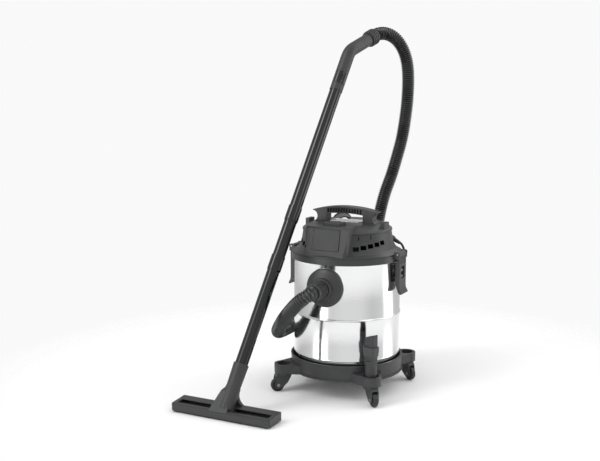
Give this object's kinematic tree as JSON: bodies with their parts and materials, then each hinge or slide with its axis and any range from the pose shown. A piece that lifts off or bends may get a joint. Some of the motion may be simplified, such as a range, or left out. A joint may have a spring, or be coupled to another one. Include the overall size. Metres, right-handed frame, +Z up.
{
  "type": "shop vacuum",
  "caption": "Wet and dry shop vacuum: steel drum on a caster base, motor head with latches and carry handle, ribbed hose, wand, floor nozzle and a parked crevice tool.",
  "frame": {"origin": "on the floor under the drum's axis", "axes": "+Z up; the inlet and the badge face -Y; the crevice tool and the power cord are on the +X side"},
  "size_m": [0.4995, 0.7255, 1.0437],
  "materials": {
    "charcoal_plastic": "fine moulded grain",
    "badge_plastic": "fine moulded grain, blank",
    "slider_plastic": "satin",
    "gloss_black_plastic": "satin gloss",
    "wheel_plastic": "satin",
    "polished_steel": "mirror polished stainless steel",
    "bright_steel": "zinc plated",
    "black_steel": "black oxide",
    "motor_iron": "laminated iron",
    "cast_aluminium": "satin",
    "carbon": "pressed carbon",
    "seal_rubber": "matt",
    "cord_rubber": "satin",
    "hose_plastic": "ribbed, satin",
    "tube_plastic": "satin gloss",
    "bristle": "nylon bristle",
    "float_white": "natural",
    "foam": "open foam"
  },
  "bodies": {
    "base": {"base_tray": "charcoal_plastic", "drum": "polished_steel", "drum_screws": "black_steel", "inlet_flange": "charcoal_plastic", "inlet_nut": "charcoal_plastic", "inlet_seal": "seal_rubber", "inlet_deflector": "charcoal_plastic", "power_cord": "cord_rubber", "cord_coil": "cord_rubber", "mains_plug": "cord_rubber", "hose": "hose_plastic", "hose_cuff_lower": "charcoal_plastic", "hose_cuff_upper": "charcoal_plastic", "wand_handle": "charcoal_plastic", "tube_upper": "tube_plastic", "tube_middle": "tube_plastic", "tube_lower": "tube_plastic", "nozzle_body": "charcoal_plastic", "nozzle_bristles": "bristle"},
    "caster_1": {"caster_fork_1": "charcoal_plastic", "caster_axle_1": "bright_steel"},
    "wheel_1": {"caster_wheel_1": "wheel_plastic"},
    "caster_2": {"caster_fork_2": "charcoal_plastic", "caster_axle_2": "bright_steel"},
    "wheel_2": {"caster_wheel_2": "wheel_plastic"},
    "caster_3": {"caster_fork_3": "charcoal_plastic", "caster_axle_3": "bright_steel"},
    "wheel_3": {"caster_wheel_3": "wheel_plastic"},
    "caster_4": {"caster_fork_4": "charcoal_plastic", "caster_axle_4": "bright_steel"},
    "wheel_4": {"caster_wheel_4": "wheel_plastic"},
    "head": {"head_base": "charcoal_plastic", "head_seal": "seal_rubber", "head_cover": "charcoal_plastic", "front_badge": "badge_plastic", "carry_handle": "charcoal_plastic", "handle_screws": "bright_steel", "switch_body": "charcoal_plastic", "latch_pin_left": "bright_steel", "latch_pin_right": "bright_steel", "cable_gland": "cord_rubber", "motor_stator": "motor_iron", "motor_bearings": "bright_steel", "carbon_brushes": "carbon", "motor_mount": "seal_rubber", "fan_housing": "bright_steel", "float_cage": "charcoal_plastic", "filter_sleeve": "foam", "filter_clamp": "bright_steel"},
    "latch_left": {"latch_left": "charcoal_plastic", "latch_spring_left": "bright_steel"},
    "latch_right": {"latch_right": "charcoal_plastic", "latch_spring_right": "bright_steel"},
    "rocker": {"switch_rocker": "gloss_black_plastic"},
    "rotor": {"motor_rotor": "motor_iron", "impeller": "cast_aluminium"},
    "float": {"float_cup": "float_white"},
    "air_slider": {"air_slider": "gloss_black_plastic"},
    "tool": {"crevice_tool": "charcoal_plastic"},
    "tool_collar": {"tool_slider": "slider_plastic"}
  },
  "joints": [
    {"name": "caster_1_swivel", "type": "hinge", "parent": "base", "child": "caster_1", "pos_m": [0.13506, -0.13506, 0.05], "axis": [0, 0, 1], "continuous": true},
    {"name": "wheel_1_spin", "type": "hinge", "parent": "caster_1", "child": "wheel_1", "pos_m": [0.1492, -0.1492, 0.02], "axis": [0.7071, 0.7071, 0], "continuous": true},
    {"name": "caster_2_swivel", "type": "hinge", "parent": "base", "child": "caster_2", "pos_m": [0.13506, 0.13506, 0.05], "axis": [0, 0, 1], "continuous": true},
    {"name": "wheel_2_spin", "type": "hinge", "parent": "caster_2", "child": "wheel_2", "pos_m": [0.15238, 0.12506, 0.02], "axis": [0.5, 0.866, 0], "continuous": true},
    {"name": "caster_3_swivel", "type": "hinge", "parent": "base", "child": "caster_3", "pos_m": [-0.13506, 0.13506, 0.05], "axis": [0, 0, 1], "continuous": true},
    {"name": "wheel_3_spin", "type": "hinge", "parent": "caster_3", "child": "wheel_3", "pos_m": [-0.15238, 0.14506, 0.02], "axis": [-0.5, -0.866, 0], "continuous": true},
    {"name": "caster_4_swivel", "type": "hinge", "parent": "base", "child": "caster_4", "pos_m": [-0.13506, -0.13506, 0.05], "axis": [0, 0, 1], "continuous": true},
    {"name": "wheel_4_spin", "type": "hinge", "parent": "caster_4", "child": "wheel_4", "pos_m": [-0.1492, -0.1492, 0.02], "axis": [0.7071, -0.7071, 0], "continuous": true},
    {"name": "head_lift", "type": "slide", "parent": "base", "child": "head", "axis": [0, 0, 1], "range_m": [0, 0.1], "deforming": ["power_cord"]},
    {"name": "latch_left_swing", "type": "hinge", "parent": "head", "child": "latch_left", "pos_m": [-0.166, 0, 0.404], "axis": [0, 1, 0], "range_deg": [0, 100]},
    {"name": "latch_right_swing", "type": "hinge", "parent": "head", "child": "latch_right", "pos_m": [0.166, 0, 0.404], "axis": [0, -1, 0], "range_deg": [0, 100]},
    {"name": "switch_rock", "type": "hinge", "parent": "head", "child": "rocker", "pos_m": [0, -0.088, 0.488], "axis": [-1, 0, 0], "range_deg": [0, 14]},
    {"name": "motor_spin", "type": "hinge", "parent": "head", "child": "rotor", "pos_m": [0, 0, 0.41], "axis": [0, 0, 1], "continuous": true},
    {"name": "float_rise", "type": "slide", "parent": "head", "child": "float", "axis": [0, 0, 1], "range_m": [0, 0.035]},
    {"name": "air_slide", "type": "slide", "parent": "base", "child": "air_slider", "axis": [0.1223, 0.4564, 0.8813], "range_m": [0, 0.018]},
    {"name": "tool_lift", "type": "slide", "parent": "base", "child": "tool", "axis": [0, 0, 1], "range_m": [0, 0.12]},
    {"name": "tool_collar_slide", "type": "slide", "parent": "tool", "child": "tool_collar", "axis": [0, 0, 1], "range_m": [0, 0.025]}
  ]
}
